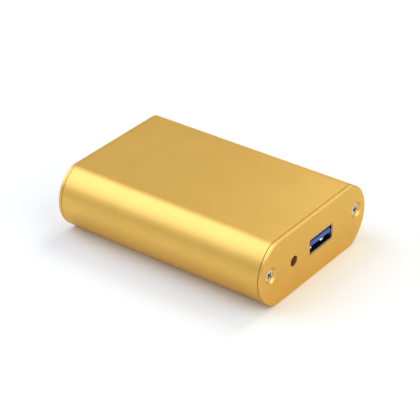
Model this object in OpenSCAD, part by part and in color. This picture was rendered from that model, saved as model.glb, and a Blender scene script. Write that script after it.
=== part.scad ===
// Video capture box: an extruded aluminium tube closed by two screwed end plates. A circuit board slides
// in slots inside the tube. It carries a data socket and a lamp at the front, a video socket at the rear
// and the chips between them.
// Frame: X across the box, Y along the tube with the data socket at -Y, Z up from the base. Millimetres.

/* [Case] */
// Overall width across the curved sides
case_w = 60; // [58:0.5:72]
// Overall height
case_h = 23.6; // [22:0.2:28]
// Length of the tube between its end plates
tube_len = 82; // [78:0.5:110]
// How far each curved side stands out past the flat top
side_bulge = 8; // [6:0.25:10]
// Radius that blends the flat top and base into the curved sides
side_blend = 5; // [3:0.25:6]
// Wall thickness of the tube
wall = 1.5; // [1.2:0.1:2]
// Thickness of the ledges that guide the board
ledge_t = 1; // [0.8:0.1:1.2]
// Width of board edge that is held between the ledges
ledge_hold = 2.6; // [1.5:0.1:3]

/* [End plates] */
// Thickness of an end plate
plate_t = 1.5; // [1.4:0.1:3]
// Chamfer round a plate's outer edge
plate_chamfer = 0.25; // [0.1:0.05:0.5]
// Gap round a socket in its plate opening
port_gap = 0.15; // [0.1:0.05:0.3]

/* [Screws] */
// Distance of a screw from the box's side
screw_inset = 5.4; // [4.8:0.1:6.5]
// Height of the screws above the board's upper face
screw_rise = 3.5; // [3:0.1:6]
// Thread diameter
thread_d = 2.5; // [2.4:0.1:3]
// Length of a screw from the top of its head to its tip
screw_len = 7; // [5:0.5:12]
// Diameter of a screw's head
head_d = 4.4; // [4:0.1:5]
// Diameter of the countersink at the plate's face
sink_d = 5.8; // [5.4:0.1:6]
// Diameter of the screw hole behind the countersink
screw_hole_d = 3.2; // [3.1:0.1:3.8]
// Wall of the tube round a screw's thread
boss_wall = 1.25; // [1:0.05:1.5]
// Gap round a screw
screw_gap = 0.04; // [0.02:0.01:0.08]
// Width of a screw's cross recess
drive_w = 0.6; // [0.4:0.05:0.8]
// Span of a screw's cross recess
drive_span = 2.3; // [1.6:0.1:2.3]
// Depth of a screw's cross recess
drive_depth = 0.7; // [0.4:0.1:1.2]

/* [Board] */
// Thickness of the board
board_t = 1.6; // [1:0.1:2]
// Height of the board's underside above the base
board_z = 7.7; // [6:0.1:9]
// Gap between the board's long edges and the tube wall
board_side_gap = 0.6; // [0.4:0.1:1]
// Gap between the board's short edges and the end plates
board_end_gap = 0.25; // [0.1:0.05:0.6]
// Gap between the board's faces and the ledges
slot_gap = 0.12; // [0.06:0.02:0.2]
// Gap round a lead or leg in its board hole
hole_gap = 0.12; // [0.08:0.02:0.2]
// How far leads and legs come out under the board
tail_len = 1.2; // [0.8:0.1:2]

/* [Data socket] */
// Centre of the data socket across the box
data_x = 3.5; // [-1:0.5:6]
// Inside width of the data socket's shell
data_w = 12.5; // [12:0.1:13]
// Inside height of the data socket's shell
data_h = 5.12; // [4.9:0.02:5.4]
// Depth of the data socket's shell
data_depth = 17.5; // [16:0.5:19]
// Thickness of both sockets' sheet metal
sheet = 0.3; // [0.25:0.05:0.4]
// Corner radius inside the data socket's shell
data_corner = 0.3; // [0.2:0.1:0.8]
// Width of the data socket's tongue
tongue_w = 11.2; // [10.6:0.1:11.6]
// Thickness of the data socket's tongue
tongue_t = 1.66; // [1.5:0.02:2]
// Space between the tongue and the shell above it
tongue_drop = 0.9; // [0.6:0.02:1]
// How far the tongue's tip lies behind the shell's mouth
tongue_recess = 0.1; // [0:0.1:1]
// Depth of the solid block at the back of the data socket
data_block = 6; // [4:0.5:7]
// How far both sockets' mouths lie behind the plates' outer faces
mouth_recess = 0.1; // [0:0.05:0.4]

/* [Video socket] */
// Centre of the video socket across the box
video_x = 0; // [-6:0.5:6]
// Inside width of the video socket's shell
video_w = 14; // [13.6:0.1:14.4]
// Inside height of the video socket's shell
video_h = 4.55; // [4.4:0.05:4.8]
// Bevel at the lower corners of the video socket's mouth
video_bevel = 1.5; // [1:0.1:1.8]
// Depth of the video socket's shell
video_depth = 11.5; // [10:0.5:13]
// Width of the video socket's tongue
blade_w = 11; // [10.6:0.1:11.4]
// Thickness of the video socket's tongue
blade_t = 1.1; // [0.9:0.05:1.3]
// How far the blade's tip lies behind the shell's mouth
blade_recess = 1.2; // [0.6:0.1:2]
// Depth of the solid block at the back of the video socket
video_block = 4; // [3:0.5:5]

/* [Socket springs] */
// Distance between the two spring fingers of a row
spring_spacing = 7; // [6:0.2:7.4]
// Width of a spring finger
spring_w = 2; // [1.5:0.1:2.4]
// Length of a spring finger
spring_len = 4.2; // [3:0.1:5]
// Thickness of a spring finger
spring_t = 0.22; // [0.15:0.01:0.24]
// How far a spring's root lies behind the socket's mouth
spring_depth = 1.8; // [1.2:0.1:2.4]
// Angle that a relaxed finger leans into the socket
spring_lean = 5.5; // [3:0.5:6.5]
// Height of the hump that is pressed up in a spring finger
spring_hump = 0.8; // [0.4:0.1:1]
// Height of the hump of the fingers above the data socket's tongue
spring_hump_low = 0.3; // [0.1:0.05:0.4]
// Distance of the hump's crest from the finger's root
spring_crest = 0.9; // [0.7:0.05:1.4]
// Gap round a spring finger in its window
spring_gap = 0.1; // [0.06:0.02:0.2]

/* [Lamp] */
// Centre of the lamp across the box
lamp_x = -11.9; // [-16:0.1:-8]
// Height of the lamp's axis above the board's upper face
lamp_rise = 2.5; // [2.2:0.1:5]
// Diameter of the lamp's lens
lamp_d = 3; // [2.8:0.1:3.4]
// Length of the lamp's lens from its flange to its tip
lamp_len = 4.4; // [3.5:0.1:6]
// Height of the lens's shallow crown
lamp_crown = 0.4; // [0.2:0.1:1]
// Gap round the lamp in its plate opening
lamp_gap = 0.35; // [0.15:0.05:0.4]
// How far the lamp's tip lies behind the plate's outer face
lamp_recess = 0.3; // [0:0.1:1]
// Width of a square lamp lead
lamp_lead = 0.5; // [0.4:0.05:0.6]
// Distance between the two lamp leads
lamp_pitch = 2.54; // [2:0.02:2.54]

/* [Chips] */
// Side of the video receiver chip
receiver_side = 14; // [12:0.5:15]
// Thickness of the video receiver chip
receiver_t = 1.4; // [1:0.1:2]
// Side of the data controller chip
controller_side = 10; // [8:0.5:11]
// Thickness of the data controller chip
controller_t = 1.2; // [0.8:0.1:2]
// Width of the memory chip between its lead rows
memory_w = 3.9; // [3.6:0.1:4.4]
// Length of the memory chip
memory_len = 4.9; // [4.8:0.1:6]
// Thickness of the memory chip
memory_t = 1.5; // [1:0.1:1.8]
// Width of a regulator's body between its leads and its tab
regulator_w = 3.5; // [3.2:0.1:4]
// Length of a regulator's body
regulator_len = 6.5; // [6:0.1:7]
// Thickness of a regulator's body
regulator_t = 1.6; // [1.2:0.1:2]

/* [Other components] */
// Length of the receiver's crystal can
crystal_len = 11; // [9:0.5:12]
// Width of the receiver's crystal can
crystal_w = 4.6; // [4:0.1:5]
// Height of the receiver's crystal can
crystal_h = 3.6; // [2.5:0.1:4.5]
// Side of a power inductor
inductor_side = 5; // [4:0.1:6]
// Height of a power inductor
inductor_h = 3; // [2:0.1:4]
// Diameter of a reservoir capacitor's can
can_d = 6.3; // [5:0.1:6.6]
// Height of a reservoir capacitor's can above its base
can_h = 4.6; // [3.5:0.1:5.6]
// Height of a reservoir capacitor's base
can_base_h = 0.8; // [0.5:0.1:1]
// Length of a small chip capacitor or resistor
chip_len = 1.6; // [1.2:0.1:2]
// Width of a small chip capacitor or resistor
chip_w = 0.8; // [0.6:0.1:1]

/* [Hidden] */
$fn = 64;
over = 0.2;             // how far a cutting shape runs past the face that it cuts
seat_gap = 0.05;        // gap round a piece that is pressed into another

// Section of the tube
mid_z = case_h / 2;
side_r = (mid_z * mid_z + side_bulge * side_bulge) / (2 * side_bulge);
side_x = case_w / 2 - side_r;
blend_turn = acos((mid_z - side_blend) / (side_r - side_blend));
blend_ease = 1.4;       // the blend is this much flatter than an arc that touches, so that its ends cross cleanly
blend_r = blend_ease * side_blend;
blend_half = side_blend * sin(blend_turn / 2);
blend_shift = side_blend * cos(blend_turn / 2) - sqrt(blend_r * blend_r - blend_half * blend_half);
blend_at = [side_x + (side_r - side_blend) * sin(blend_turn), mid_z - side_blend]
    + blend_shift * [sin(blend_turn / 2), cos(blend_turn / 2)];
blend_rise = blend_at.y / norm([blend_at.x - side_x, blend_at.y]);
inner_r = side_r - wall;

// Board
board_top = board_z + board_t;
board_len = tube_len - 2 * board_end_gap;
board_half = min(wall_x(board_z), wall_x(board_top)) - board_side_gap;
ledge_x = board_half - ledge_hold;

// Screws
screw_x = case_w / 2 - screw_inset;
screw_z = board_top + screw_rise;
bore_r = thread_d / 2 + screw_gap;
boss_r = bore_r + boss_wall;
boss_slit = thread_d / 2.5;
boss_web = 2 * boss_wall;
head_depth = (sink_d - head_d) / 2 - screw_gap;
shank_depth = (sink_d - screw_hole_d) / 2 - screw_gap;
tip_taper = thread_d / 6;
screw_turns = [45, 10, 30, 75];

// Ends of the box
tube_end = tube_len / 2;
plate_face = tube_end + plate_t;
mouth = plate_face - mouth_recess;

// Data socket, with depths counted from its mouth
data_out_w = data_w + 2 * sheet;
data_out_h = data_h + 2 * sheet;
data_floor = board_top + sheet;
data_roof = data_floor + data_h;
tongue_top = data_roof - tongue_drop;
tongue_low = tongue_top - tongue_t;
data_legs = [6, 13];
data_leg_len = 1.8;
data_back = data_depth - data_block;
data_contact_t = 0.2;
data_short_w = 0.5;
data_short_start = 3.5;
data_short_x = [-3.5, -1, 1, 3.5];
data_short_tail = 2.2;
data_long_w = 0.4;
data_long_start = 0.9;
data_long_x = [-4, -2, 0, 2, 4];
data_long_tail = 0.7;

// Video socket, with depths counted from its mouth
video_floor = board_top + sheet;
video_roof = video_floor + video_h;
video_legs = [3.2, 8.8];
video_leg_len = 1.6;
video_back = video_depth - video_block;
blade_mid = (video_floor + video_roof) / 2;
video_pitch = 1;
video_contact_w = 0.35;
video_contact_t = 0.15;
video_contact_setback = 0.5;
video_contact_start = blade_recess + video_contact_setback;
video_upper_count = 10;
video_lower_count = 9;
video_upper_tail = 1.4;
video_lower_tail = 0.6;
video_foot = 0.7;

// Socket springs
spring_foot = 0.3;

// Lamp
lamp_z = board_top + lamp_rise;
lamp_tip = plate_face - lamp_recess;
lamp_crown_r = (lamp_d * lamp_d / 4 + lamp_crown * lamp_crown) / (2 * lamp_crown);
lamp_flange_rim = 0.4;
lamp_flange_r = lamp_d / 2 + lamp_flange_rim;
lamp_flange_t = 1;
lamp_back = lamp_tip - lamp_len - lamp_flange_t;
lamp_lead_run = 2;
lamp_lead_y = -lamp_back + lamp_lead_run;

// Places on the board, counted from the backs of the two sockets
front_zone = -mouth + data_depth;
rear_zone = mouth - video_depth;
resistor_gap = 4;
receiver_gap = 17;
controller_gap = 11.5;
controller_x = 1;
memory_step = [13, 4];
regulator_steps = [[15.5, 5], [15.5, -6]];
crystal_step = [-15.5, 0];
flat_crystal_step = [-10.5, -9.5];
inductor_steps = [[-17, 7], [-17, -2]];
can_steps = [-6.5, -15.5];
can_clear = 1.2;
resistor_y = rear_zone - resistor_gap;
receiver_at = [0, rear_zone - receiver_gap];
controller_at = [controller_x, front_zone + controller_gap];
memory_at = controller_at + memory_step;
crystal_at = receiver_at + crystal_step;
flat_crystal_at = controller_at + flat_crystal_step;
can_base_rim = 0.15;
can_base_side = can_d + 2 * can_base_rim;
can_x = screw_x - boss_r - can_clear - can_base_side / 2;

// Chips and their leads
chip_rise = 0.1;
lead_t = 0.15;
lead_reach = 1.05;
receiver_row = 16;
receiver_pitch = 0.8;
receiver_lead_w = 0.3;
memory_row = 4;
memory_pitch = 1.27;
memory_lead_w = 0.4;
regulator_pitch = 2.3;
regulator_lead_w = 0.7;
regulator_tab_w = 3;

// Other components
flat_crystal = [3.2, 2.5, 0.8];
inductor_corner = 0.8;
can_base_cut = 1.2;
capacitor_h = 0.8;
resistor_h = 0.45;
chip_clear = 0.9;
receiver_ring_gap = 4;
controller_ring_gap = 4.5;
resistor_count = 8;
resistor_pitch = 1.8;

// Colours
gold = "#d8a94a";
steel = "#c9cbcc";
tin = "#b9bcbf";
contact_gold = "#d9b45a";
socket_blue = "#2f5fc4";
plastic_black = "#1d1e20";
board_green = "#1f6a3c";
lamp_red = "#5a1418";
ferrite_grey = "#4a4c50";
ceramic_tan = "#b48a5c";

// Half width of the tube's inside at a height above the base
function wall_x(z) = side_x + sqrt(inner_r * inner_r - (z - mid_z) * (z - mid_z));

// Extrudes an X-Z section along Y
module along_y(y0, y1) {
    translate([0, y1, 0]) rotate([90, 0, 0]) linear_extrude(y1 - y0) children();
}

// Extrudes a Y-Z section along X
module along_x(x0, x1) {
    translate([x0, 0, 0]) rotate([90, 0, 90]) linear_extrude(x1 - x0) children();
}

// A box between two corners
module block(low, high) {
    translate(low) cube(high - low);
}

// A rectangle with round corners, centred
module round_rect(w, h, r) {
    square([w - 2 * r, h], center = true);
    square([w, h - 2 * r], center = true);
    for (x = [-1, 1], y = [-1, 1])
        translate([x * (w / 2 - r), y * (h / 2 - r)]) circle(r);
}

// The box's outline, drawn in from the outside by inset
module outline(inset) {
    difference() {
        intersection() {
            union() {
                for (side = [-1, 1]) translate([side * side_x, mid_z]) circle(side_r - inset, $fn = 180);
                translate([-side_x, inset]) square([2 * side_x, case_h - 2 * inset]);
            }
            translate([-case_w, inset]) square([2 * case_w, case_h - 2 * inset]);
        }
        translate([0, mid_z]) for (side = [0, 1], end = [0, 1]) mirror([side, 0]) mirror([0, end]) difference() {
            translate([blend_at.x, blend_rise * (side_r - inset)]) square(side_r);
            translate(blend_at) circle(blend_r - inset, $fn = 180);
        }
    }
}

// The pieces at the front are drawn at -Y. A half turn takes a shape to the rear.
module at_rear() {
    rotate([0, 0, 180]) children();
}

// Case

// The ledges above and below one edge of the board, and the screw channel that stands on the upper one
module board_guide() {
    translate([ledge_x, board_z - slot_gap - ledge_t]) square([case_w / 2 - ledge_x, ledge_t]);
    translate([ledge_x, board_top + slot_gap]) square([case_w / 2 - ledge_x, ledge_t]);
    translate([screw_x, board_top + slot_gap])
        square([case_w / 2 - screw_x, screw_z + boss_web / 2 - board_top - slot_gap]);
    translate([screw_x, screw_z]) circle(boss_r);
}

// The round thread channel and its slit towards the inside
module screw_channel() {
    translate([screw_x, screw_z]) circle(bore_r);
    translate([screw_x - boss_r - over, screw_z - boss_slit / 2]) square([boss_r + over, boss_slit]);
}

module case_tube() {
    color(gold) along_y(-tube_end, tube_end) difference() {
        union() {
            difference() {
                outline(0);
                outline(wall);
            }
            intersection() {
                outline(wall / 2);
                for (side = [0, 1]) mirror([side, 0]) board_guide();
            }
        }
        for (side = [0, 1]) mirror([side, 0]) screw_channel();
    }
}

// End plates

// A disc of a plate's thickness, chamfered on its outer side, that may run past both faces
module plate_disc(r, past) {
    straight = plate_t - plate_chamfer + past;
    translate([0, past - tube_end, 0]) rotate([90, 0, 0]) {
        cylinder(r = r, h = straight, $fn = 180);
        translate([0, 0, straight])
            cylinder(r1 = r, r2 = r - plate_chamfer - past, h = plate_chamfer + past, $fn = 180);
    }
}

// A plate with its outer edge chamfered, at the front of the tube
module plate_blank() {
    rim = plate_chamfer - plate_face;
    difference() {
        intersection() {
            union() {
                for (side = [-1, 1]) translate([side * side_x, 0, mid_z]) plate_disc(side_r, 0);
                block([-side_x, -plate_face, 0], [side_x, -tube_end, case_h]);
            }
            along_x(-case_w, case_w) polygon([
                [-tube_end, 0], [rim, 0], [-plate_face, plate_chamfer],
                [-plate_face, case_h - plate_chamfer], [rim, case_h], [-tube_end, case_h]
            ]);
        }
        translate([0, 0, mid_z]) for (side = [0, 1], end = [0, 1]) mirror([side, 0, 0]) mirror([0, 0, end])
            difference() {
                block([blend_at.x, -plate_face - over / 2, blend_rise * (side_r - plate_chamfer / 2)],
                      [case_w / 2, -tube_end + over / 2, case_h]);
                translate([blend_at.x, 0, blend_at.y]) plate_disc(blend_r, over);
            }
    }
}

// Puts a shape on a front screw's axis, with +Z running from the plate's face into the box
module on_screw_axis(side) {
    translate([side * screw_x, -plate_face, screw_z]) rotate([-90, 0, 0]) children();
}

module screw_sink() {
    translate([0, 0, -over])
        cylinder(d1 = sink_d + 2 * over, d2 = screw_hole_d, h = over + (sink_d - screw_hole_d) / 2);
    cylinder(d = screw_hole_d, h = plate_t + over);
}

module data_outline(grow) {
    translate([data_x, (data_floor + data_roof) / 2])
        round_rect(data_w + 2 * grow, data_h + 2 * grow, data_corner + grow);
}

// The video socket's outline: square upper corners and bevelled lower ones
module video_outline(grow) {
    half = video_w / 2 + grow;
    low = video_floor - grow;
    high = video_roof + grow;
    bevel = video_bevel + grow * (2 - sqrt(2));
    translate([-video_x, 0]) polygon([
        [-half + bevel, low], [half - bevel, low], [half, low + bevel], [half, high],
        [-half, high], [-half, low + bevel]
    ]);
}

module front_plate() {
    color(gold) difference() {
        plate_blank();
        for (side = [-1, 1]) on_screw_axis(side) screw_sink();
        along_y(-plate_face - over, -tube_end + over) data_outline(sheet + port_gap);
        translate([lamp_x, -tube_end + over, lamp_z]) rotate([90, 0, 0])
            cylinder(r = lamp_d / 2 + lamp_gap, h = plate_t + 2 * over);
    }
}

module rear_plate() {
    color(gold) at_rear() difference() {
        plate_blank();
        for (side = [-1, 1]) on_screw_axis(side) screw_sink();
        along_y(-plate_face - over, -tube_end + over) video_outline(sheet + port_gap);
    }
}

// Screws

// A countersunk screw with a cross recess, turned about its axis
module screw(turn) {
    color(steel) difference() {
        union() {
            translate([0, 0, head_depth])
                cylinder(d1 = head_d, d2 = screw_hole_d, h = shank_depth - head_depth);
            translate([0, 0, head_depth]) cylinder(d = thread_d, h = screw_len - tip_taper);
            translate([0, 0, head_depth + screw_len - tip_taper])
                cylinder(d1 = thread_d, d2 = thread_d - 2 * tip_taper, h = tip_taper);
        }
        translate([0, 0, head_depth]) rotate(turn) {
            for (arm = [0, 90]) rotate(arm) translate([0, 0, (drive_depth - over) / 2])
                cube([drive_span, drive_w, drive_depth + over], center = true);
        }
    }
}

module front_screw_left() {
    on_screw_axis(-1) screw(screw_turns[0]);
}

module front_screw_right() {
    on_screw_axis(1) screw(screw_turns[1]);
}

module rear_screw_left() {
    at_rear() on_screw_axis(1) screw(screw_turns[2]);
}

module rear_screw_right() {
    at_rear() on_screw_axis(-1) screw(screw_turns[3]);
}

// Board

// A round board hole that clears a lead of a given width and thickness
module lead_hole(x, y, w, t) {
    translate([x, y, board_z - over])
        cylinder(r = sqrt(w * w + t * t) / 2 + hole_gap, h = board_t + 2 * over, $fn = 24);
}

module main_board() {
    color(board_green) difference() {
        block([-board_half, -board_len / 2, board_z], [board_half, board_len / 2, board_top]);
        for (side = [-1, 1], leg = data_legs) data_leg(side, leg, hole_gap);
        for (x = data_short_x)
            lead_hole(data_x + x, data_y(data_depth + data_short_tail + data_contact_t / 2),
                      data_short_w, data_contact_t);
        for (x = data_long_x)
            lead_hole(data_x + x, data_y(data_depth + data_long_tail + data_contact_t / 2),
                      data_long_w, data_contact_t);
        at_rear() for (side = [-1, 1], leg = video_legs) video_leg(side, leg, hole_gap);
        for (side = [-1, 1])
            lead_hole(lamp_x + side * lamp_pitch / 2, lamp_lead_y, lamp_lead, lamp_lead);
    }
}

// Sockets

// A flat leg that goes down through the board, in line with a shell's side wall
module shell_leg(wall_mid, y0, y1, top, grow) {
    block([wall_mid - sheet / 2 - grow, y0 - grow, board_z - tail_len],
          [wall_mid + sheet / 2 + grow, y1 + grow, top]);
}

// The windows of two spring fingers, cut through a shell's floor or roof
module spring_windows(centre, z) {
    for (side = [-1, 1]) {
        x = centre + side * spring_spacing / 2;
        half = spring_w / 2 + spring_gap;
        block([x - half, data_y(spring_depth) - spring_t / 2 - spring_gap, z - sheet],
              [x + half, data_y(spring_depth) + spring_len + spring_gap, z + sheet]);
    }
}

// A spring finger on the Y axis, bent up over a hump whose height may be negative
module spring_finger(hump) {
    half = spring_t / 2;
    ramp = atan(hump / (spring_crest - spring_foot));
    shift = half * tan(ramp / 2);
    rotate([90, 0, 90]) translate([0, 0, -spring_w / 2]) linear_extrude(spring_w) polygon([
        [0, -half], [spring_foot + shift, -half], [spring_crest, hump - half], [spring_len, -half],
        [spring_len, half], [spring_crest, hump + half], [spring_foot - shift, half], [0, half]
    ]);
}

// Two spring fingers on a common axis across the socket, leaning up or down into it
module spring_pair(centre, z, lean, hump) {
    for (side = [-1, 1])
        translate([centre + side * spring_spacing / 2, data_y(spring_depth), z]) rotate([lean, 0, 0]) {
            rotate([0, 90, 0]) cylinder(d = spring_t, h = spring_w, center = true, $fn = 24);
            spring_finger(hump);
        }
}

// Data socket

// Place along Y of a depth behind a front socket's mouth
function data_y(depth) = -mouth + depth;

module data_leg(side, leg, grow) {
    shell_leg(data_x + side * (data_out_w - sheet) / 2, data_y(leg), data_y(leg) + data_leg_len,
              data_floor + data_corner + over, grow);
}

module data_shell() {
    color(steel) difference() {
        union() {
            along_y(data_y(0), data_y(data_depth)) data_outline(sheet);
            for (side = [-1, 1], leg = data_legs) data_leg(side, leg, 0);
        }
        along_y(data_y(-over), data_y(data_depth + over)) data_outline(0);
        spring_windows(data_x, data_floor - sheet / 2);
        spring_windows(data_x, data_roof + sheet / 2);
    }
}

// The room for one contact in the block, its upper face level with the tongue's underside
module data_contact_room(x, w) {
    block([data_x + x - w / 2 - seat_gap, data_y(data_back) - over, tongue_low - data_contact_t - seat_gap],
          [data_x + x + w / 2 + seat_gap, data_y(data_depth) + over, tongue_low]);
}

module data_insulator() {
    color(socket_blue) difference() {
        union() {
            along_y(data_y(data_back), data_y(data_depth)) data_outline(-seat_gap);
            block([data_x - tongue_w / 2, data_y(tongue_recess), tongue_low],
                  [data_x + tongue_w / 2, data_y(data_back) + over, tongue_top]);
        }
        for (x = data_short_x) data_contact_room(x, data_short_w);
        for (x = data_long_x) data_contact_room(x, data_long_w);
    }
}

// A contact that lies under the tongue, passes through the block and turns down into the board
module data_contact(x, w, start, tail) {
    back = data_y(data_depth + tail);
    block([data_x + x - w / 2, data_y(start), tongue_low - data_contact_t],
          [data_x + x + w / 2, back + data_contact_t, tongue_low]);
    block([data_x + x - w / 2, back, board_z - tail_len],
          [data_x + x + w / 2, back + data_contact_t, tongue_low]);
}

module data_contacts_short() {
    color(contact_gold) for (x = data_short_x)
        data_contact(x, data_short_w, data_short_start, data_short_tail);
}

module data_contacts_long() {
    color(contact_gold) for (x = data_long_x)
        data_contact(x, data_long_w, data_long_start, data_long_tail);
}

module data_springs_lower() {
    color(steel) spring_pair(data_x, data_floor - sheet / 2, spring_lean, spring_hump);
}

module data_springs_upper() {
    color(steel) spring_pair(data_x, data_roof + sheet / 2, -spring_lean, -spring_hump_low);
}

// Video socket, drawn at the front and turned to the rear
module video_leg(side, leg, grow) {
    shell_leg(-video_x + side * (video_w + sheet) / 2, data_y(leg), data_y(leg) + video_leg_len,
              video_floor + video_bevel + over, grow);
}

module video_shell() {
    color(steel) at_rear() difference() {
        union() {
            along_y(data_y(0), data_y(video_depth)) video_outline(sheet);
            for (side = [-1, 1], leg = video_legs) video_leg(side, leg, 0);
        }
        along_y(data_y(-over), data_y(video_depth + over)) video_outline(0);
        spring_windows(-video_x, video_floor - sheet / 2);
        spring_windows(-video_x, video_roof + sheet / 2);
    }
}

// The room for one contact in the block, above or below the blade's faces
module video_contact_room(x, low, high) {
    half = video_contact_w / 2 + seat_gap;
    block([-video_x + x - half, data_y(video_back) - over, low],
          [-video_x + x + half, data_y(video_depth) + over, high]);
}

module video_insulator() {
    high = blade_mid + blade_t / 2;
    low = blade_mid - blade_t / 2;
    color(plastic_black) at_rear() difference() {
        union() {
            along_y(data_y(video_back), data_y(video_depth)) video_outline(-seat_gap);
            block([-video_x - blade_w / 2, data_y(blade_recess), low],
                  [-video_x + blade_w / 2, data_y(video_back) + over, high]);
        }
        for (i = [0 : video_upper_count - 1])
            video_contact_room(row_x(i, video_upper_count), high, high + video_contact_t + seat_gap);
        for (i = [0 : video_lower_count - 1])
            video_contact_room(row_x(i, video_lower_count), low - video_contact_t - seat_gap, low);
    }
}

// Place of one contact in a row that is centred on the socket
function row_x(i, count) = (i - (count - 1) / 2) * video_pitch;

// A contact that lies on the blade, passes through the block and turns down to a foot on the board
module video_contact(x, low, tail) {
    half = video_contact_w / 2;
    back = data_y(video_depth + tail);
    left = -video_x + x - half;
    right = -video_x + x + half;
    block([left, data_y(video_contact_start), low], [right, back + video_contact_t, low + video_contact_t]);
    block([left, back, board_top], [right, back + video_contact_t, low + video_contact_t]);
    block([left, back, board_top], [right, back + video_foot, board_top + video_contact_t]);
}

module video_contacts_upper() {
    color(contact_gold) at_rear() for (i = [0 : video_upper_count - 1])
        video_contact(row_x(i, video_upper_count), blade_mid + blade_t / 2, video_upper_tail);
}

module video_contacts_lower() {
    color(contact_gold) at_rear() for (i = [0 : video_lower_count - 1])
        video_contact(row_x(i, video_lower_count), blade_mid - blade_t / 2 - video_contact_t,
                      video_lower_tail);
}

module video_springs_lower() {
    color(steel) at_rear() spring_pair(-video_x, video_floor - sheet / 2, spring_lean, spring_hump);
}

module video_springs_upper() {
    color(steel) at_rear() spring_pair(-video_x, video_roof + sheet / 2, -spring_lean, -spring_hump);
}

// Lamp
module status_lamp() {
    color(lamp_red) translate([lamp_x, -lamp_tip, lamp_z]) rotate([-90, 0, 0]) {
        intersection() {
            cylinder(d = lamp_d, h = lamp_len);
            translate([0, 0, lamp_crown_r]) sphere(r = lamp_crown_r);
        }
        translate([0, 0, lamp_len]) cylinder(r = lamp_flange_r, h = lamp_flange_t);
    }
}

module lamp_leads() {
    half = lamp_lead / 2;
    color(tin) for (side = [-1, 1]) {
        x = lamp_x + side * lamp_pitch / 2;
        block([x - half, -lamp_back, lamp_z - half], [x + half, lamp_lead_y + half, lamp_z + half]);
        block([x - half, lamp_lead_y - half, board_z - tail_len],
              [x + half, lamp_lead_y + half, lamp_z + half]);
    }
}

// Chips

// A box on the board, centred on a place
module on_board(place, size, rise) {
    block([place[0] - size[0] / 2, place[1] - size[1] / 2, board_top + rise],
          [place[0] + size[0] / 2, place[1] + size[1] / 2, board_top + rise + size[2]]);
}

// A bent lead that leaves a chip's side face at X = 0 and ends in a foot on the board
module bent_lead(w, rise) {
    bend = lead_reach / 3;
    translate([0, w / 2, board_top]) rotate([90, 0, 0]) linear_extrude(w) polygon([
        [0, rise], [bend + lead_t, rise], [bend + lead_t, lead_t], [lead_reach, lead_t],
        [lead_reach, 0], [bend, 0], [bend, rise - lead_t], [0, rise - lead_t]
    ]);
}

// A row of bent leads along one side of a chip
module lead_row(place, turn, side_distance, count, pitch, w, rise) {
    translate([place[0], place[1], 0]) rotate(turn) for (i = [0 : count - 1])
        translate([side_distance, (i - (count - 1) / 2) * pitch, 0]) bent_lead(w, rise);
}

module receiver_chip() {
    color(plastic_black) on_board(receiver_at, [receiver_side, receiver_side, receiver_t], chip_rise);
}

module receiver_leads() {
    color(tin) for (turn = [0, 90, 180, 270])
        lead_row(receiver_at, turn, receiver_side / 2, receiver_row, receiver_pitch, receiver_lead_w,
                 chip_rise + receiver_t / 2);
}

module controller_chip() {
    color(plastic_black) on_board(controller_at, [controller_side, controller_side, controller_t], 0);
}

module memory_chip() {
    color(plastic_black) on_board(memory_at, [memory_w, memory_len, memory_t], chip_rise);
}

module memory_leads() {
    color(tin) for (turn = [0, 180])
        lead_row(memory_at, turn, memory_w / 2, memory_row, memory_pitch, memory_lead_w,
                 chip_rise + memory_t / 2);
}

module regulators() {
    color(plastic_black) for (step = regulator_steps)
        on_board(receiver_at + step, [regulator_w, regulator_len, regulator_t], chip_rise);
}

module regulator_leads() {
    color(tin) for (step = regulator_steps) {
        place = receiver_at + step;
        rise = chip_rise + regulator_t / 2;
        lead_row(place, 180, regulator_w / 2, 3, regulator_pitch, regulator_lead_w, rise);
        lead_row(place, 0, regulator_w / 2, 1, regulator_pitch, regulator_tab_w, rise);
    }
}

// Other components
module receiver_crystal() {
    straight = (crystal_len - crystal_w) / 2;
    color(steel) translate([crystal_at[0], crystal_at[1], board_top]) linear_extrude(crystal_h) {
        square([crystal_w, 2 * straight], center = true);
        for (end = [-1, 1]) translate([0, end * straight]) circle(d = crystal_w);
    }
}

module controller_crystal() {
    color(steel) on_board(flat_crystal_at, flat_crystal, 0);
}

module power_inductors() {
    color(ferrite_grey) for (step = inductor_steps)
        translate([controller_at[0] + step[0], controller_at[1] + step[1], board_top])
            linear_extrude(inductor_h) round_rect(inductor_side, inductor_side, inductor_corner);
}

module reservoir_cans() {
    color(steel) for (step = can_steps) translate([can_x, controller_at[1] + step, board_top + can_base_h])
        cylinder(d = can_d, h = can_h);
}

// A square base with two cut corners that show the polarity
module reservoir_bases() {
    half = can_base_side / 2;
    color(plastic_black) for (step = can_steps) translate([can_x, controller_at[1] + step, board_top])
        linear_extrude(can_base_h) polygon([
            [-half, -half], [half, -half], [half, half - can_base_cut], [half - can_base_cut, half],
            [-half + can_base_cut, half], [-half, half - can_base_cut]
        ]);
}

// A ring of small chips round a square chip, an equal row along each side
module chip_ring(place, reach, row, gap) {
    for (turn = [0, 90, 180, 270]) translate([place[0], place[1], board_top]) rotate(turn)
        for (i = [0 : row - 1]) translate([reach, (i - (row - 1) / 2) * gap, capacitor_h / 2])
            cube([chip_w, chip_len, capacitor_h], center = true);
}

module chip_capacitors() {
    step = chip_clear + chip_w / 2;
    color(ceramic_tan) {
        chip_ring(receiver_at, receiver_side / 2 + lead_reach + step, 3, receiver_ring_gap);
        chip_ring(controller_at, controller_side / 2 + step, 2, controller_ring_gap);
    }
}

module chip_resistors() {
    color(plastic_black) for (i = [0 : resistor_count - 1])
        on_board([(i - (resistor_count - 1) / 2) * resistor_pitch - video_x, resistor_y],
                 [chip_w, chip_len, resistor_h], 0);
}

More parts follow.
